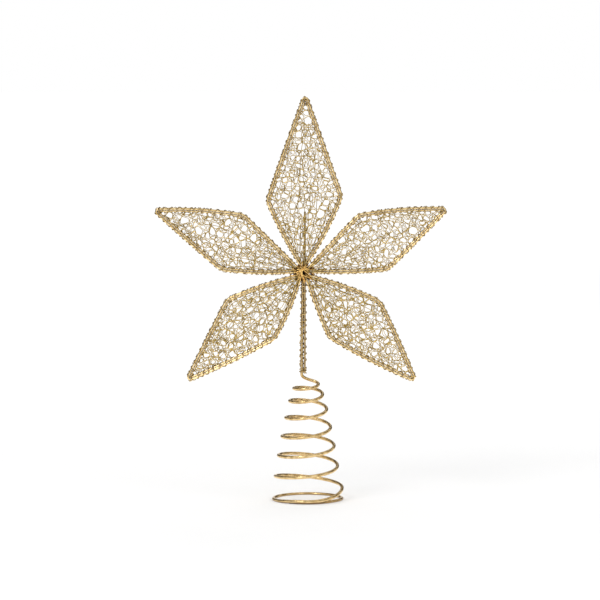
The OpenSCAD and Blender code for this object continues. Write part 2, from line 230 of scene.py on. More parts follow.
# Strands across the hub: those in front pass beside an upright slit, those behind are close and coloured near
# # black as painted shade. Each kind has a count, the angle of its first strand and from one to the next, a
# # depth, and its share of the bow to the viewer.
FRONT_STRANDS = 9
FRONT_TURNS = (11, 20)
REAR_STRANDS = 18
REAR_TURNS = (94, 10)
HUB_POINTS = 30
HUB_REACH = 6.4
FRONT_Y = -1.75
FRONT_BOW = 1.0
REAR_Y = 1.3
REAR_BOW = -0.2
BOW_MIDDLE = 0.5
BOW_ENDS = 0.6
REAR_SPREAD = 3.0
FRONT_R = 0.4
REAR_R = 0.45
SLIT = (0.65, 1.25)
SLIT_SPREAD = (1.0, 1.35)

# Short ends round the hub, about the lacing's angles, coloured near black as painted shade.
END_TURN = 9
END_FROM = (4.6, 6.2)
END_LENGTH = (1.0, 2.4)
END_Y = -1.95
END_R = (0.34, 0.46)
END_POINTS = 6


# Meshes

END_CAP = np.radians((78, 54, 28))
FIRST_SIDE = (0.13, 0.2, 0.97)


def unit(v):
    return v / np.maximum(np.linalg.norm(v, axis=-1, keepdims=True), 1e-12)


def tangents(pts, closed):
    if closed:
        return unit(np.roll(pts, -1, 0) - np.roll(pts, 1, 0))
    t = np.empty_like(pts)
    t[1:-1] = pts[2:] - pts[:-2]
    t[0] = pts[1] - pts[0]
    t[-1] = pts[-1] - pts[-2]
    return unit(t)


def carried(t, first):
    """Directions carried along a path without turning round it."""
    out = np.empty_like(t)
    v = np.array(first, float)
    for i in range(len(t)):
        v = v - v.dot(t[i]) * t[i]
        v = v / np.linalg.norm(v)
        out[i] = v
    return out


def tube(pts, r, sides, refs=None, closed=False):
    """Vertices and faces of a round wire along pts, with rounded ends where it is open."""
    pts = np.asarray(pts, float)
    t = tangents(pts, closed)
    refs = carried(t, FIRST_SIDE) if refs is None else np.broadcast_to(refs, pts.shape)
    radii = np.full(len(pts), r) if np.isscalar(r) else np.asarray(r, float)
    n = unit(refs - (refs * t).sum(1, keepdims=True) * t)
    if not closed:
        caps = len(END_CAP)
        back = np.concatenate([pts[:1] - radii[0] * math.sin(a) * t[:1] for a in END_CAP])
        ahead = np.concatenate([pts[-1:] + radii[-1] * math.sin(a) * t[-1:] for a in END_CAP[::-1]])
        pts = np.concatenate([back, pts, ahead])
        radii = np.concatenate([radii[0] * np.cos(END_CAP), radii, radii[-1] * np.cos(END_CAP[::-1])])
        t = np.concatenate([np.repeat(t[:1], caps, 0), t, np.repeat(t[-1:], caps, 0)])
        n = np.concatenate([np.repeat(n[:1], caps, 0), n, np.repeat(n[-1:], caps, 0)])
    b = np.cross(t, n)
    a = np.arange(sides) * TAU / sides
    ring = np.cos(a)[None, :, None] * n[:, None, :] + np.sin(a)[None, :, None] * b[:, None, :]
    verts = (pts[:, None, :] + radii[:, None, None] * ring).reshape(-1, 3)
    m = len(pts)
    i = np.arange(m if closed else m - 1)[:, None]
    k = np.arange(sides)[None, :]
    here, there = i * sides, (i + 1) % m * sides
    beside = (k + 1) % sides
    faces = np.stack([here + k, here + beside, there + beside, there + k], -1).reshape(-1, 4).tolist()
    if not closed:
        faces.append(list(range(sides))[::-1])
        faces.append(list(range((m - 1) * sides, m * sides)))
    return verts, faces


def piece(name, tubes, material, body=None, replaces=()):
    """One mesh object from tubes in millimetres."""
    verts, faces, start = [], [], 0
    for v, f in tubes:
        verts.append(v)
        faces.extend([[q + start for q in face] for face in f])
        start += len(v)
    mesh = bpy.data.meshes.new(name)
    mesh.from_pydata((np.concatenate(verts) * MM).tolist(), [], faces)
    mesh.polygons.foreach_set("use_smooth", [True] * len(mesh.polygons))
    mesh.materials.append(material)
    mesh.validate()
    obj = bpy.data.objects.new(name, mesh)
    bpy.context.scene.collection.objects.link(obj)
    if body:
        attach(obj, body)
    if replaces:
        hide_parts(*replaces)
    return obj


def smooth_noise(count, every, rng, low=-1.0, high=1.0):
    """A list of count values that change smoothly, with a new random value at each step of every."""
    knots = rng.uniform(low, high, int(count / every) + 4)
    x = np.arange(count) / every
    i = x.astype(int)
    f = x - i
    f = f * f * (3 - 2 * f)
    return knots[i] * (1 - f) + knots[i + 1] * f


# Materials, with lengths in metres

PATCH_EDGES = (0.36, 0.62)
PATCH_DETAIL = 3.0
FINE_DETAIL = 2.0
GLOSS_GRAIN = 6
DENT_GRAIN = 4
GLOSS_EDGES = (0.3, 0.7)
DENT_DEPTH = 0.0001
SHADE_SAMPLES = 8


def cleared_nodes(owner):
    """The nodes and links of a material or world, emptied."""
    owner.use_nodes = True
    owner.node_tree.nodes.clear()
    return owner.node_tree.nodes, owner.node_tree.links


def map_range(nodes, links, value, span, to=(0.0, 1.0)):
    node = nodes.new("ShaderNodeMapRange")
    for name, number in zip(("From Min", "From Max", "To Min", "To Max"), (*span, *to)):
        node.inputs[name].default_value = number
    links.new(value, node.inputs["Value"])
    return node.outputs["Result"]


def wire_material(name, pale, deep, rough, grain, bump, painted_shade_color, shade=(0.0025, 0.3, 0.8)):
    """Plated wire: patches of deeper colour, painted shade where other wires are near, drawn grain and small
    dents.
    """
    mat = bpy.data.materials.new(name)
    nodes, links = cleared_nodes(mat)
    out = nodes.new("ShaderNodeOutputMaterial")
    shader = nodes.new("ShaderNodeBsdfPrincipled")
    shader.inputs["Metallic"].default_value = 1.0
    links.new(shader.outputs["BSDF"], out.inputs["Surface"])
    place = nodes.new("ShaderNodeTexCoord")

    def noise(scale, detail):
        node = nodes.new("ShaderNodeTexNoise")
        node.inputs["Scale"].default_value = scale
        node.inputs["Detail"].default_value = detail
        links.new(place.outputs["Object"], node.inputs["Vector"])
        return node.outputs["Fac"]

    patches = nodes.new("ShaderNodeValToRGB")
    for stop, edge, color in zip(patches.color_ramp.elements, PATCH_EDGES, (deep, pale)):
        stop.position = edge
        stop.color = (*color, 1)
    links.new(noise(grain, PATCH_DETAIL), patches.inputs["Fac"])
    # Painted shade: where ambient occlusion finds other wires near, the colour goes over to the dark shade
    # colour.
    near = nodes.new("ShaderNodeAmbientOcclusion")
    near.samples = SHADE_SAMPLES
    near.inputs["Distance"].default_value = shade[0]
    plating_with_painted_shade = nodes.new("ShaderNodeMix")
    plating_with_painted_shade.data_type = "RGBA"
    plating_with_painted_shade.inputs["A"].default_value = (*painted_shade_color, 1)
    links.new(map_range(nodes, links, near.outputs["AO"], shade[1:]), plating_with_painted_shade.inputs["Factor"])
    links.new(patches.outputs["Color"], plating_with_painted_shade.inputs["B"])
    links.new(plating_with_painted_shade.outputs["Result"], shader.inputs["Base Color"])

    gloss = map_range(nodes, links, noise(grain * GLOSS_GRAIN, FINE_DETAIL), GLOSS_EDGES, rough)
    links.new(gloss, shader.inputs["Roughness"])

    dents = nodes.new("ShaderNodeBump")
    dents.inputs["Strength"].default_value = bump
    dents.inputs["Distance"].default_value = DENT_DEPTH
    links.new(noise(grain * DENT_GRAIN, FINE_DETAIL), dents.inputs["Height"])
    links.new(dents.outputs["Normal"], shader.inputs["Normal"])
    return mat


# Each has its pale and deep colour, least and most roughness, grain, dents, and the colour of the painted
# shade
# # where other wires are near. The hub's has its own reach and limits of that shade.
spring_gold = wire_material(
    "spring_gold", (0.83, 0.62, 0.32), (0.58, 0.40, 0.17), (0.19, 0.34), 260, 0.25, (0.24, 0.13, 0.05))
stem_gold = wire_material(
    "stem_gold", (0.66, 0.50, 0.27), (0.44, 0.31, 0.15), (0.15, 0.32), 300, 0.3, (0.16, 0.09, 0.03))
frame_gold = wire_material(
    "frame_gold", (1.0, 0.79, 0.44), (0.74, 0.53, 0.23), (0.13, 0.28), 320, 0.35, (0.20, 0.11, 0.03))
binding_gold = wire_material(
    "binding_gold", (0.70, 0.51, 0.22), (0.38, 0.25, 0.09), (0.15, 0.34), 420, 0.35, (0.08, 0.04, 0.01))
hub_gold = wire_material(
    "hub_gold", (1.0, 0.70, 0.25), (0.60, 0.30, 0.08), (0.16, 0.34), 800, 0.35, (0.04, 0.015, 0.004),
    (0.004, 0.28, 0.48))
# knot_painted_shade_gold is near black all over: painted shade for the hub's rear strands and the short ends
# round it.
knot_painted_shade_gold = wire_material(
    "knot_painted_shade_gold", (0.13, 0.065, 0.025), (0.05, 0.022, 0.008), (0.26, 0.45), 420, 0.35, (0.02, 0.008, 0.002))
net_gold = wire_material(
    "net_gold", (0.71, 0.515, 0.17), (0.44, 0.305, 0.08), (0.17, 0.36), 300, 0.3, (0.24, 0.14, 0.05))


# Spring

def ramp(x, span):
    """A smooth way from 0 at the start of a span to 1 at its end."""
    t = np.clip((x - span[0]) / (span[1] - span[0]), 0, 1)
    return t * t * (3 - 2 * t)


def coil_point(u):
    """Middle of the coil's wire at turns u."""
    u = np.asarray(u, float)
    up_cone = np.maximum(u - TAPER_FROM, 0) / (TURNS - TAPER_FROM)
    foot = 1 - ramp(u, FOOT_FADE)
    r = BASE_R - (BASE_R - TOP_R) * up_cone - TAIL_IN * ramp(u, TAIL)
    r = r + BELLY * np.sin(math.pi * np.clip(up_cone, 0, 1)) + FOOT_WIDE * foot
    v = np.maximum(u, 0) / TURNS
    rise = SPRING_RISE * ((1 + PITCH_FADE) * v - PITCH_FADE * v * v)
    z = FOOT_Z + rise * ramp(u, LIFT) + OVER_TAIL * ramp(u, OVER_FROM) * (1 - ramp(u, OVER_TO))
    z = z - TURN_LEAN * (1 - 0.5 * ramp(u, LEAN_HALVED)) * np.sin(TAU * u) * ramp(u, LEAN_FROM)
    z = z + PULLED_UP * ramp(u, PULL_FROM) * (1 - PULL_LOST * ramp(u, PULL_TO))
    a = math.pi + TAU * u
    return np.stack([COIL_SHIFT + FOOT_SHIFT * foot + r * np.cos(a), r * np.sin(a), z], -1)


def lead_path():
    """Way of the wire from the coil's top to the stem's foot, with its straight end."""
    start = coil_point(TURNS)
    along = unit(coil_point(TURNS + 0.01) - coil_point(TURNS - 0.01))
    end = np.array([-STEM_X, STEM_Y, STEM_FOOT_Z])
    p = (start, start + along * (TOP_R - WIRE_R), end - [0, 0, 0.5 * LEAD_RISE], end)
    t = np.linspace(0, 1, LEAD_RINGS + 1)[1:, None]
    bend = p[0] * (1 - t) ** 3 + 3 * p[1] * t * (1 - t) ** 2 + 3 * p[2] * t * t * (1 - t) + p[3] * t ** 3
    return np.concatenate([bend, [end + [0, 0, up] for up in LEAD_ENDS]])


def spring_tube(first, last, lead=None):
    """The coil's wire between two turns, with the tail's straight end or the lead where it has one."""
    pts = coil_point(np.linspace(first, last, int((last - first) * RINGS_PER_TURN) + 1))
    if first < 0:
        pts = np.concatenate([pts[:1] + TAIL_END * unit(pts[:1] - pts[1:2]), pts])
    radii = np.full(len(pts), COIL_R)
    if lead is not None:
        pts = np.concatenate([pts, lead])
        radii = np.concatenate([radii, np.linspace(COIL_R, WIRE_R, len(lead))])
    verts, faces = tube(pts, radii, THICK_SIDES)
    verts[:, 2] = np.maximum(verts[:, 2], 0)
    return verts, faces


def blend_rings(obj, low, high):
    """Works out a height between two heights for each ring of a wire as a whole, then bakes the transform and
    puts the wire's round rings back as they were.
    """
    count = len(obj.data.vertices)
    round_wire = np.empty(count * 3)
    obj.data.vertices.foreach_get("co", round_wire)
    rings = round_wire.reshape(-1, THICK_SIDES, 3)
    share = np.clip((rings[:, :, 2].mean(1) - low) / (high - low), 0, 1)
    # heights at which the blend's own easing gives each ring its share
    middle = np.zeros_like(rings)
    middle[:, :, 2] = (low + (high - low) * (0.5 - np.sin(np.arcsin(1 - 2 * share) / 3)))[:, None]
    obj.data.vertices.foreach_set("co", middle.ravel())
    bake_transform(obj)
    obj.data.vertices.foreach_set("co", round_wire)
    obj.data.update()


def make_spring():
    lengths = (
        ("spring_lower", (-BASE_TURN, SPLITS[0]), None, ("spring_foot", "spring_waist")),
        ("spring_middle", SPLITS, None, ("spring_waist", "spring_neck")),
        ("spring_upper", (SPLITS[1], TURNS), lead_path(), ("spring_neck", "flower")),
    )
    heights = (FOOT_Z, float(coil_point(SPLITS[0])[2]), float(coil_point(SPLITS[1])[2]), STEM_FOOT_Z)
    for i, (node, (first, last), lead, bodies) in enumerate(lengths):
        obj = piece(node + "_wire", [spring_tube(first, last, lead)], spring_gold)
        blend_rings(obj, heights[i] * MM, heights[i + 1] * MM)
        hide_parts(node)


# Stem

def leg_at(z):
    """Middle of the leg at heights z: towards the hub it leans to the rod and behind it."""
    lean = ramp(z, LEG_LEAN_SPAN)
    return np.stack([-STEM_X + LEG_LEAN[0] * lean, STEM_Y + LEG_LEAN[1] * lean, z], -1)


def binding_tube(turns, low, high, both, slack, seed):
    """A fine wire wound round the leg, or round leg and rod, with its first turns close together."""
    rng = np.random.default_rng(seed)
    n = turns * BINDING_RINGS
    a = np.linspace(0, TAU * turns, n)
    steps = rng.uniform(*BINDING_SPREAD, turns + 1)
    steps[1:3] *= BINDING_CLOSE
    climb = np.interp(np.arange(n), np.linspace(0, n, turns + 1), np.cumsum(steps))
    climb = (climb - climb[0]) / (climb[-1] - climb[0])
    core = leg_at(low + (high - low) * climb)
    d = np.full(n, WIRE_R + BINDING_R + slack)
    if both:
        right = np.cos(a) > 0
        core[right, :2] = STEM_X, STEM_Y
        d[right] = ROD_R + BINDING_R + ROD_SLACK
    refs = np.stack([np.cos(a), np.sin(a), 0 * a], -1)
    return tube(core + d[:, None] * refs, BINDING_R, WRAP_SIDES, refs)


def make_stem():
    leg = leg_at(np.linspace(LEG_FOOT_Z + WIRE_R, LEG_TOP_Z - WIRE_R, LEG_RINGS))
    leg_wire = tube(leg, WIRE_R, THICK_SIDES)
    piece("spring_leg_wire", [leg_wire], stem_gold, "flower", ("spring_leg",))
    z = np.linspace(ROD_FOOT_Z + ROD_R, ROD_TOP_Z - ROD_R, ROD_RINGS)
    rod = np.stack([np.full_like(z, STEM_X), np.full_like(z, STEM_Y), z], -1)
    rod_wire = tube(rod, ROD_R, THICK_SIDES)
    piece("stem_rod_wire", [rod_wire], stem_gold, "flower", ("stem_rod",))
    wraps = [binding_tube(*binding) for binding in BINDINGS]
    piece("stem_binding_wire", wraps, binding_gold, "flower", ("stem_binding",))


# Petal frames

def side_bends(petal, here, there):
    """Bends of one side of a petal, from its tip: centre, radius, first and last direction."""
    reach = petal["reach"]
    (half, shoulder), (other_half, other_shoulder) = here, there
    a = math.atan2(half, reach - shoulder)
    o = math.atan2(other_half, reach - other_shoulder)
    away = math.hypot(half, shoulder - ROOT_RING)
    b = math.atan2(half, shoulder - ROOT_RING) - math.asin(ROOT_BEND / away)
    k = TIP_BEND / math.sin((a + o) / 2)
    tip = (k * math.sin((a - o) / 2), reach - k * math.cos((a - o) / 2))
    k = SHOULDER_BEND / math.cos((a + b) / 2)
    bend = (half - k * math.cos((a - b) / 2), shoulder - k * math.sin((a - b) / 2))
    right = math.pi / 2
    return [
        (tip, TIP_BEND, 0.0, right - a),
        (bend, SHOULDER_BEND, right - a, right + b),
        ((0.0, ROOT_RING), ROOT_BEND, right + b, math.pi),
    ]


def half_loop(petal, here, there):
    """Points of one side of a frame, from the middle of its tip to the middle of its root."""
    pts, last = [], None
    for (cx, cz), r, a0, a1 in side_bends(petal, here, there):
        a = np.linspace(a0, a1, max(4, int(r * (a1 - a0) / min(LOOP_STEP, r * BEND_STEP)) + 1))
        arc = np.stack([cx + r * np.sin(a), cz + r * np.cos(a)], -1)
        if last is not None:
            n = max(2, int(np.linalg.norm(arc[0] - last) / LOOP_STEP))
            f = np.linspace(0, 1, n + 1)[1:-1, None]
            pts.append(last * (1 - f) + arc[0] * f)
        pts.append(arc)
        last = arc[-1]
    return np.concatenate(pts)


def hand_bent(petal, pts):
    """The petal's own points moved as its wire was bent by hand."""
    k = petal["bent_reach"] / petal["reach"]
    out = np.empty_like(pts)
    for sign, plan, bent in ((1, "here", "bent_here"), (-1, "there", "bent_there")):
        side = pts[:, 0] * sign >= 0
        half, shoulder = petal[plan]
        wide, reach = petal[bent]
        x = np.abs(pts[side, 0])
        out[side, 0] = sign * x * wide / half
        out[side, 1] = k * pts[side, 1] + (reach - k * shoulder) * x / half
    return out


def outward(loop):
    t = unit(np.roll(loop, -1, 0) - np.roll(loop, 1, 0))
    return np.stack([-t[:, 1], t[:, 0]], -1)


def bow(petal, pts):
    """How far each point of a frame is pushed out by the bow of its side."""
    out = np.zeros(len(pts))
    for sign, side in ((1, "here"), (-1, "there")):
        shoulder = petal["bent_" + side][1]
        over, under = petal["bow_" + side]
        up = np.clip((pts[:, 1] - shoulder) / (petal["bent_reach"] - BOW_SHORT - shoulder), 0, 1)
        down = np.clip((pts[:, 1] - ROOT_RING) / (shoulder - ROOT_RING), 0, 1)
        push = over * np.sin(math.pi * up) + under * np.sin(math.pi * down)
        out = np.where(pts[:, 0] * sign > 0, push, out)
    return out


def petal_loop(petal):
    """The frame's closed centreline, clockwise from the middle of the root, and its outward directions."""
    here = half_loop(petal, petal["here"], petal["there"])
    there = half_loop(petal, petal["there"], petal["here"]) * [-1, 1]
    pts = hand_bent(petal, np.concatenate([there[::-1], here[1:-1]]))
    pts = pts + bow(petal, pts)[:, None] * outward(pts)
    return pts, outward(pts)


def turned(petal, v):
    """Directions in the petal turned to the world."""
    a = math.radians(petal["bent_turn"])
    across = v[:, 0] * math.cos(a) + v[:, 2] * math.sin(a)
    up = v[:, 2] * math.cos(a) - v[:, 0] * math.sin(a)
    return np.stack([across, v[:, 1], up], -1)


def to_world(petal, xz, y):
    """Points in the petal's plane, at depths y, turned to the world."""
    x, z = xz[:, 0], xz[:, 1]
    return turned(petal, np.stack([x, np.broadcast_to(y, x.shape), z], -1)) + [0, 0, HUB_Z]


def run_lengths(pts):
    """Length along a path at each of its points."""
    return np.concatenate([[0], np.cumsum(np.linalg.norm(np.diff(pts, axis=0), axis=1))])


def edge_run(loop, normals, low):
    """The part of a closed edge that lies further than low from the hub, with its outward directions."""
    keep = np.nonzero(np.hypot(loop[:, 0], loop[:, 1]) > low)[0]
    return loop[keep], normals[keep]


def frame_tubes(petal, loop, normals, rng):
    """The frame wire, and the strand that runs inside it."""
    across = np.broadcast_to([0.0, 1.0, 0.0], (len(loop), 3))
    frame_wire = tube(to_world(petal, loop, 0.0), FRAME_R, FRAME_SIDES, across, True)
    strand, out = edge_run(loop, normals, EDGE_FROM)
    inner = strand - EDGE_IN * out
    y = EDGE_WAVE * smooth_noise(len(inner), EDGE_WAVE_STEP, rng)
    return [frame_wire, tube(to_world(petal, inner, y), EDGE_R, EDGE_SIDES, TO_VIEWER)]


def lashing_tube(petal, loop, normals, rng, winding):
    """A fine wire wound round the frame wire and the strand beside it."""
    wrap_r, turn_length, hand, slack = winding
    pts, out = edge_run(loop, normals, LASH_FROM)
    s = run_lengths(pts)
    loops = int(s[-1] / turn_length)
    n = loops * LASH_RINGS
    a = hand * np.linspace(0, TAU * loops, n)
    marks = np.cumsum(rng.uniform(*LASH_SPREAD, loops + 1))
    marks = (marks - marks[0]) / (marks[-1] - marks[0]) * s[-1]
    at = np.interp(np.abs(a) / TAU, np.arange(loops + 1), marks)
    core = np.stack([np.interp(at, s, pts[:, i]) for i in (0, 1)], -1)
    away = unit(np.stack([np.interp(at, s, out[:, i]) for i in (0, 1)], -1))
    c, d = np.cos(a), np.sin(a)
    outer = c > (EDGE_R - FRAME_R) / EDGE_IN
    gap = slack + LASH_LOOSE * smooth_noise(n, LASH_LOOSE_STEP, rng, 0, 1)
    reach = np.where(outer, FRAME_R, EDGE_R) + wrap_r + gap
    along = np.where(outer, 0, -EDGE_IN) + reach * c
    flat = core + along[:, None] * away
    refs = np.stack([c * away[:, 0], d, c * away[:, 1]], -1)
    return tube(to_world(petal, flat, reach * d), wrap_r, WRAP_SIDES, turned(petal, refs))


# Petal nets

def walls_of(loop):
    """Every third point of an edge, and the outward directions of the straight walls between them."""
    corners = loop[::3]
    along = unit(np.roll(corners, -1, 0) - corners)
    return corners, np.stack([-along[:, 1], along[:, 0]], -1)


def depth_in(loop, pts):
    """Depth of points inside a clockwise rounded kite."""
    corners, facing = walls_of(loop)
    return ((corners[None] - pts[:, None, :]) * facing[None]).sum(2).min(1)


def clipped(poly, n, c):
    """The part of a convex polygon where n . p <= c."""
    side = poly @ n - c
    out = []
    for i in range(len(poly)):
        a, b = side[i - 1], side[i]
        if (a <= 0) != (b <= 0):
            out.append(poly[i - 1] + (poly[i] - poly[i - 1]) * a / (a - b))
        if b <= 0:
            out.append(poly[i])
    return np.array(out).reshape(-1, 2)


def rounded(poly, step):
    """Evenly spaced points of a closed curve with the corners of a polygon cut round."""
    for cut in CORNER_CUTS:
        ahead = np.roll(poly, -1, 0)
        poly = np.stack([(1 - cut) * poly + cut * ahead, cut * poly + (1 - cut) * ahead], 1).reshape(-1, 2)
    ring = np.concatenate([poly, poly[:1]])
    s = run_lengths(ring)
    at = np.linspace(0, s[-1], max(CELL_POINTS, int(s[-1] / step)) + 1)[:-1]
    return np.stack([np.interp(at, s, ring[:, k]) for k in (0, 1)], -1)


def thrown(loop, rng):
    """Middles and sizes of the cells of a net: large ones first, then smaller ones between them."""
    low, high = loop.min(0), loop.max(0)
    area = np.prod(high - low)
    mid, size = np.empty((0, 2)), np.empty(0)
    for small, large, tries, share in CELLS:
        spots = rng.uniform(low, high, (int(area * tries), 2))
        spots = spots[(depth_in(loop, spots) > EDGE_IN + NET_CLEAR) & (np.hypot(*spots.T) > NET_FROM)]
        room = int(len(spots) / tries * share)
        for spot in spots:
            r = rng.uniform(small, large)
            if room and (not len(mid) or (np.hypot(*(mid - spot).T) > CELL_PACKING * (size + r)).all()):
                mid, size, room = np.concatenate([mid, [spot]]), np.append(size, r), room - 1
    return mid, size


def warp_of(loop, rng):
    """A smooth push to and fro that pulls a net out of shape, less so at its edge."""
    waves = rng.normal(0, 1, (2, WARP_WAVES, 2))
    lengths = rng.uniform(*WARP_LENGTHS, (2, WARP_WAVES, 1))
    waves *= TAU / lengths / np.linalg.norm(waves, axis=2, keepdims=True)
    phase = rng.uniform(0, TAU, (2, WARP_WAVES))

    def warp(pts):
        calm = np.clip((depth_in(loop, pts) - EDGE_IN) / WARP_CALM, 0, 1)[:, None]
        push = np.stack([np.sin(pts @ waves[k].T + phase[k]).sum(1) for k in (0, 1)], -1)
        return pts + WARP * calm * push
    return warp


def cell_tubes(petal, loop, warp, rng):
    """A closed wire round each cell, parted from its neighbours and kept inside the frame."""
    tubes = []
    mid, size = thrown(loop, rng)
    corners, facing = walls_of(loop)
    limits = (facing * corners).sum(1) - EDGE_IN
    for c, r in zip(mid, size):
        poly = c + CELL_REACH * np.array([(-1, -1), (1, -1), (1, 1), (-1, 1)])
        away = mid - c
        d = np.hypot(*away.T)
        for j in np.argsort(d)[1:CELL_NEIGHBOURS]:
            n = away[j] / d[j]
            poly = clipped(poly, n, n @ c + (d[j] ** 2 + r * r - size[j] ** 2) / (2 * d[j]) - petal["net_r"])
        for n, limit in zip(facing, limits):
            if len(poly) > 2 and (poly @ n).max() > limit:
                poly = clipped(poly, n, limit)
        if len(poly) < 3:
            continue
        ring = warp(rounded(poly, CELL_STEP))
        y = rng.uniform(-CELL_DEPTH, CELL_DEPTH) + (ring - c) @ rng.uniform(-NET_TILT, NET_TILT, 2)
        wire_r = petal["net_r"] * rng.uniform(*CELL_SPREAD)
        tubes.append(tube(to_world(petal, ring, y), wire_r, NET_SIDES, TO_VIEWER, True))
    return tubes


def loop_tubes(petal, loop, warp, rng):
    """Loops that lie in front of the cells and behind them."""
    tubes = []
    low, high = loop.min(0), loop.max(0)
    small, large, tries = LOOPS
    for spot in rng.uniform(low, high, (int(np.prod(high - low) * tries), 2)):
        r = rng.uniform(small, large)
        if np.hypot(*spot) < NET_FROM + r or depth_in(loop, spot[None])[0] < EDGE_IN + r:
            continue
        a = np.linspace(0, TAU, LOOP_POINTS + 1)[:-1] + rng.uniform(0, TAU)
        squeeze, turn = rng.uniform(*LOOP_SQUEEZE), rng.uniform(0, TAU)
        x, z = r * np.cos(a), r * squeeze * np.sin(a)
        ring = spot + np.stack([
            x * math.cos(turn) - z * math.sin(turn),
            x * math.sin(turn) + z * math.cos(turn),
        ], -1)
        y = rng.choice((-LOOP_DEPTH, LOOP_DEPTH)) + (ring - spot) @ rng.uniform(-NET_TILT, NET_TILT, 2)
        tubes.append(tube(to_world(petal, warp(ring), y), LOOP_R, NET_SIDES, TO_VIEWER, True))
    return tubes


def strand_tubes(petal, loop, rng):
    """Strands that fan out from the hub, by turns behind the net and in front of it."""
    tubes = []
    for k in range(STRANDS):
        reach = rng.uniform(*STRAND_REACH) * petal["bent_reach"]
        n = int(reach / STRAND_STEP)
        z = np.linspace(STRAND_FROM, reach, n)
        side = (k + rng.uniform(-STRAND_STRAY, STRAND_STRAY) - (STRANDS - 1) / 2) / (STRANDS / 2)
        half, shoulder = petal["bent_here"] if side > 0 else petal["bent_there"]
        wide = np.interp(z, (0, shoulder, petal["bent_reach"]), (0, half - STRAND_INSET, 0))
        waves = STRAND_WAVE * smooth_noise(n, STRAND_WAVE_STEP, rng) * np.minimum(1, z / STRAND_WAVE_FULL)
        path = np.stack([side * wide + waves, z], -1)
        path = path[depth_in(loop, path) > np.where(path[:, 1] < STRAND_FREE, -STRAND_OUT, EDGE_IN)]
        y = (-1) ** k * np.interp(path[:, 1], *STRAND_DEPTHS)
        if len(path) >= STRAND_POINTS:
            tubes.append(tube(to_world(petal, path, y), STRAND_R, NET_SIDES, TO_VIEWER))
    return tubes


def net_tubes(petal, loop, rng):
    warp = warp_of(loop, rng)
    cells = cell_tubes(petal, loop, warp, rng)
    loops = loop_tubes(petal, loop, warp, rng)
    return cells + loops + strand_tubes(petal, loop, rng)


def make_petals():
    for name, petal in PETALS.items():
        rng = np.random.default_rng(petal["seed"])
        loop, normals = petal_loop(petal)
        piece("frame_%s_wire" % name, frame_tubes(petal, loop, normals, rng),
              frame_gold, "flower", ("frame_" + name,))
        first = lashing_tube(petal, loop, normals, rng, WINDINGS[0])
        piece("net_%s_wire" % name, net_tubes(petal, loop, rng),
              net_gold, "flower", ("net_" + name,))
        second = lashing_tube(petal, loop, normals, rng, WINDINGS[1])
        piece("lashing_%s_wire" % name, [first, second],
              binding_gold, "flower", ("lashing_" + name,))


# Hub

def flattened(v):
    """Sines bent towards a square wave."""
    return np.sign(v) * np.abs(v) ** LACE_FLATTENED


def hub_lacing(rng):
    """A wire that goes round the hub three times, over the petals' roots and the gaps between them."""
    rounds = [LACE_TURNS + 360 * k for k in range(LACE_ROUNDS)]
    turn = np.concatenate(rounds + [[360 * LACE_ROUNDS]])
    n = (len(turn) - 1) * LACE_RINGS
    t = np.arange(n + 1) / LACE_RINGS
    i = np.minimum(t.astype(int), len(turn) - 2)
    a = np.radians(turn[i] + (t - i) * (turn[i + 1] - turn[i]))
    outer = np.append(np.tile(LACE_REACHES, LACE_ROUNDS), LACE_REACHES[0])
    outer = outer * rng.uniform(*LACE_SPREAD, len(turn))
    far = outer[np.minimum(np.round(t).astype(int), len(turn) - 1)]
    reach = (far + LACE_IN) / 2 + (far - LACE_IN) / 2 * flattened(np.cos(TAU * t))
    y = (LACE_DEPTH + LACE_WAVE * smooth_noise(n + 1, LACE_WAVE_STEP, rng)) * flattened(np.sin(TAU * t))
    pts = np.stack([reach * np.sin(a), y, HUB_Z + reach * np.cos(a)], -1)
    kernel = np.hanning(LACE_SMOOTHED + 2)[1:-1]
    kernel /= kernel.sum()
    padded = np.pad(pts, ((LACE_SMOOTHED // 2, LACE_SMOOTHED // 2), (0, 0)), "edge")
    pts = np.stack([np.convolve(padded[:, k], kernel, "valid") for k in range(3)], -1)
    return tube(pts, LACE_R, WRAP_SIDES)


def hub_strands(rng):
    """Strands that cross in front, beside an upright slit in the middle, and a close layer behind them."""
    front_tubes, rear_tubes = [], []
    x = np.linspace(-HUB_REACH, HUB_REACH, HUB_POINTS)
    bowed = BOW_MIDDLE * np.cos(x / HUB_REACH * math.pi / 2) - BOW_ENDS * (x / HUB_REACH) ** 4
    for k in range(FRONT_STRANDS + REAR_STRANDS):
        front = k < FRONT_STRANDS
        first, step = FRONT_TURNS if front else REAR_TURNS
        a = math.radians(first + step * (k if front else k - FRONT_STRANDS))
        off = rng.choice((-1, 1)) * (SLIT[0] + SLIT[1] * abs(math.sin(a))) * rng.uniform(*SLIT_SPREAD)
        if not front:
            off = rng.uniform(-REAR_SPREAD, REAR_SPREAD)
        y = FRONT_Y - FRONT_BOW * bowed if front else REAR_Y - REAR_BOW * bowed
        across = x * math.sin(a) + off * math.cos(a)
        up = x * math.cos(a) - off * math.sin(a)
        pts = np.stack([across, y, HUB_Z + up], -1)
        if front:
            front_tubes.append(tube(pts, FRONT_R, WRAP_SIDES))
        else:
            rear_tubes.append(tube(pts, REAR_R, WRAP_SIDES))
    return front_tubes, rear_tubes


def hub_ends(rng):
    """Short ends round the hub, about the lacing's angles."""
    # Painted shade: these near-black ends stand for the dark gaps between the petals' roots.
    tubes = []
    for turn in LACE_TURNS:
        a = math.radians(turn + rng.uniform(-END_TURN, END_TURN))
        reach = rng.uniform(*END_FROM) + np.linspace(0, rng.uniform(*END_LENGTH), END_POINTS)
        pts = np.stack([reach * math.sin(a), np.full(END_POINTS, END_Y), HUB_Z + reach * math.cos(a)], -1)
        tubes.append(tube(pts, rng.uniform(*END_R), WRAP_SIDES))
    return tubes


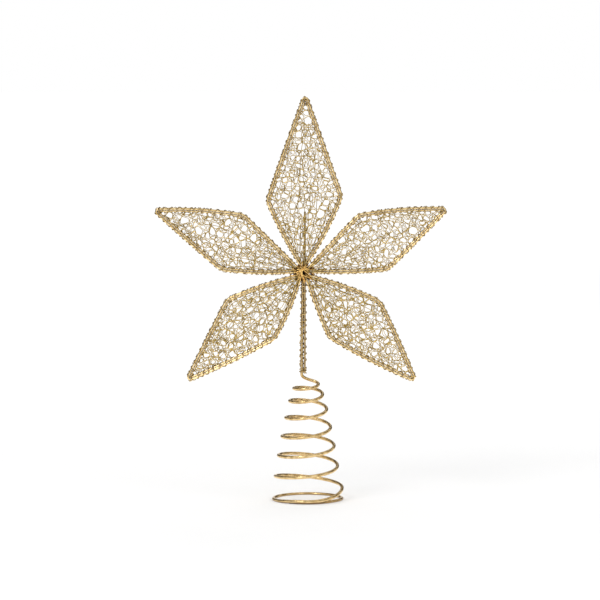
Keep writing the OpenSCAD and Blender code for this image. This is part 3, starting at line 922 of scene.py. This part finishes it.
def make_hub():
    rng = np.random.default_rng(HUB_SEED)
    lacing = hub_lacing(rng)
    front, rear = hub_strands(rng)
    ends = hub_ends(rng)
    piece("hub_binding_wire", [lacing] + front, hub_gold, "flower", ("hub_binding",))
    # The rear strands and the ends get the near-black knot colour as painted shade behind and between the
    # hub's wires.
    piece("hub_knot_painted_shade_wire", rear + ends, knot_painted_shade_gold, "flower", ("hub_binding",))


make_spring()
make_stem()
make_petals()
make_hub()


# Stage, in metres

FLOOR_SIZE = (30, 30)
FLOOR_PAINT = 0.82
FLOOR_GLOW = (0.08, 0.3)
GLOW_SPAN = (0.6, 2.6)
WHITE = (1, 1, 1, 1)
WORLD_FILL = 0.9

# Lamps: name, place, width and height, power.
LAMPS = (
    ("key", (-0.9, -1.2, 1.25), (0.7, 0.5), 8),
    ("fill", (1.2, -0.9, 0.6), (0.6, 0.6), 3),
    ("back", (0.3, 1.3, 1.1), (0.9, 0.4), 4),
)
LAMP_AIM = (0, 0, 0.16)

# Dark cards round the object: turn from the viewer's side, width in degrees, lower and upper edge.
FLAGS = (
    (0, 40, 0.40, 1.10),
    (-54, 36, 0.0, 1.00),
    (52, 31, 0.0, 1.15),
    (-104, 36, 0.0, 1.50),
    (100, 36, 0.0, 1.40),
    (-150, 36, 0.0, 1.60),
    (150, 38, 0.0, 1.50),
    (180, 18, 0.30, 1.60),
)
FLAG_AWAY = 1.0
FLAG_COLOR = (0.07, 0.06, 0.05, 1)

# Camera: the point in the middle of the image, its distance, the angle from which the camera looks down,
# and the image's width at that point.
AIM = (-0.00249, 0.0, 0.15135)
AWAY = 2.41
RAISED = math.radians(4.87)
IMAGE_WIDTH = 0.4512
SENSOR = 36.0


def math_node(nodes, links, operation, *values):
    """Result of a Math node whose values are sockets or numbers."""
    node = nodes.new("ShaderNodeMath")
    node.operation = operation
    for socket, value in zip(node.inputs, values):
        if isinstance(value, float):
            socket.default_value = value
        else:
            links.new(value, socket)
    return node.outputs[0]


def floor_material():
    """A pale floor that shows white, with the object's shadow on it."""
    mat = bpy.data.materials.new("floor_white")
    nodes, links = cleared_nodes(mat)
    out = nodes.new("ShaderNodeOutputMaterial")
    add = nodes.new("ShaderNodeAddShader")
    paint = nodes.new("ShaderNodeBsdfDiffuse")
    paint.inputs["Color"].default_value = (FLOOR_PAINT, FLOOR_PAINT, FLOOR_PAINT, 1)
    glow = nodes.new("ShaderNodeEmission")
    rays = nodes.new("ShaderNodeLightPath").outputs
    spot = nodes.new("ShaderNodeNewGeometry")
    away = nodes.new("ShaderNodeVectorMath")
    away.operation = "LENGTH"
    links.new(spot.outputs["Position"], away.inputs[0])
    # less glow where the lamps light the floor, so that it is white all over and the shadow still shows
    needed = map_range(nodes, links, away.outputs["Value"], GLOW_SPAN, FLOOR_GLOW)
    seen = math_node(nodes, links, "MULTIPLY", rays["Is Camera Ray"], needed)
    level = math_node(nodes, links, "MULTIPLY_ADD", rays["Is Glossy Ray"], FLOOR_GLOW[1], seen)
    links.new(level, glow.inputs["Strength"])
    links.new(paint.outputs[0], add.inputs[0])
    links.new(glow.outputs[0], add.inputs[1])
    links.new(add.outputs[0], out.inputs["Surface"])
    return mat


def aim(obj, place, look_at):
    obj.location = place
    if look_at is not None:
        obj.rotation_euler = (Vector(look_at) - Vector(place)).to_track_quat("-Z", "Y").to_euler()


def plane(name, size, place, look_at, material):
    mesh = bpy.data.meshes.new(name)
    w, h = size[0] / 2, size[1] / 2
    mesh.from_pydata([(-w, -h, 0), (w, -h, 0), (w, h, 0), (-w, h, 0)], [], [(0, 1, 2, 3)])
    mesh.materials.append(material)
    obj = bpy.data.objects.new(name, mesh)
    bpy.context.scene.collection.objects.link(obj)
    aim(obj, place, look_at)
    return obj


def make_world():
    """Soft light from all round, which the camera and the metal see as white."""
    world = bpy.data.worlds.new("studio")
    bpy.context.scene.world = world
    nodes, links = cleared_nodes(world)
    out = nodes.new("ShaderNodeOutputWorld")
    mix = nodes.new("ShaderNodeMixShader")
    for i, strength in enumerate((WORLD_FILL, 1.0)):
        sky = nodes.new("ShaderNodeBackground")
        sky.inputs["Color"].default_value = WHITE
        sky.inputs["Strength"].default_value = strength
        links.new(sky.outputs[0], mix.inputs[i + 1])
    rays = nodes.new("ShaderNodeLightPath").outputs
    first = math_node(nodes, links, "MAXIMUM", rays["Is Camera Ray"], rays["Is Glossy Ray"])
    seen = math_node(nodes, links, "MAXIMUM", first, rays["Is Transmission Ray"])
    links.new(seen, mix.inputs["Fac"])
    links.new(mix.outputs[0], out.inputs["Surface"])


def make_lamp(name, place, size, power):
    data = bpy.data.lights.new(name, "AREA")
    data.shape = "RECTANGLE"
    data.size, data.size_y = size
    data.energy = power
    obj = bpy.data.objects.new(name, data)
    bpy.context.scene.collection.objects.link(obj)
    aim(obj, place, LAMP_AIM)


def make_flag(name, turn, width, low, high):
    """A dark card that only reflections see, as a studio stands round bright metal."""
    mat = bpy.data.materials.new(name)
    nodes, links = cleared_nodes(mat)
    out = nodes.new("ShaderNodeOutputMaterial")
    card = nodes.new("ShaderNodeEmission")
    card.inputs["Color"].default_value = FLAG_COLOR
    card.inputs["Strength"].default_value = 1.0
    links.new(card.outputs[0], out.inputs["Surface"])
    a, z = math.radians(turn), (low + high) / 2
    place = (FLAG_AWAY * math.sin(a), -FLAG_AWAY * math.cos(a), z)
    size = (2 * FLAG_AWAY * math.tan(math.radians(width / 2)), high - low)
    obj = plane(name, size, place, (0, 0, z), mat)
    obj.visible_camera = False
    obj.visible_diffuse = False
    obj.visible_shadow = False


def make_camera():
    data = bpy.data.cameras.new("camera")
    data.sensor_width = SENSOR
    data.lens = SENSOR * AWAY / IMAGE_WIDTH
    camera = bpy.data.objects.new("camera", data)
    camera.location = (AIM[0], AIM[1] - AWAY * math.cos(RAISED), AIM[2] + AWAY * math.sin(RAISED))
    camera.rotation_euler = (math.pi / 2 - RAISED, 0, 0)
    bpy.context.scene.collection.objects.link(camera)
    bpy.context.scene.camera = camera


bpy.context.scene.view_settings.view_transform = "Standard"
make_world()
plane("floor", FLOOR_SIZE, (0, 0, 0), None, floor_material())
for lamp in LAMPS:
    make_lamp(*lamp)
for i, flag in enumerate(FLAGS):
    make_flag("flag_%d" % i, *flag)
make_camera()
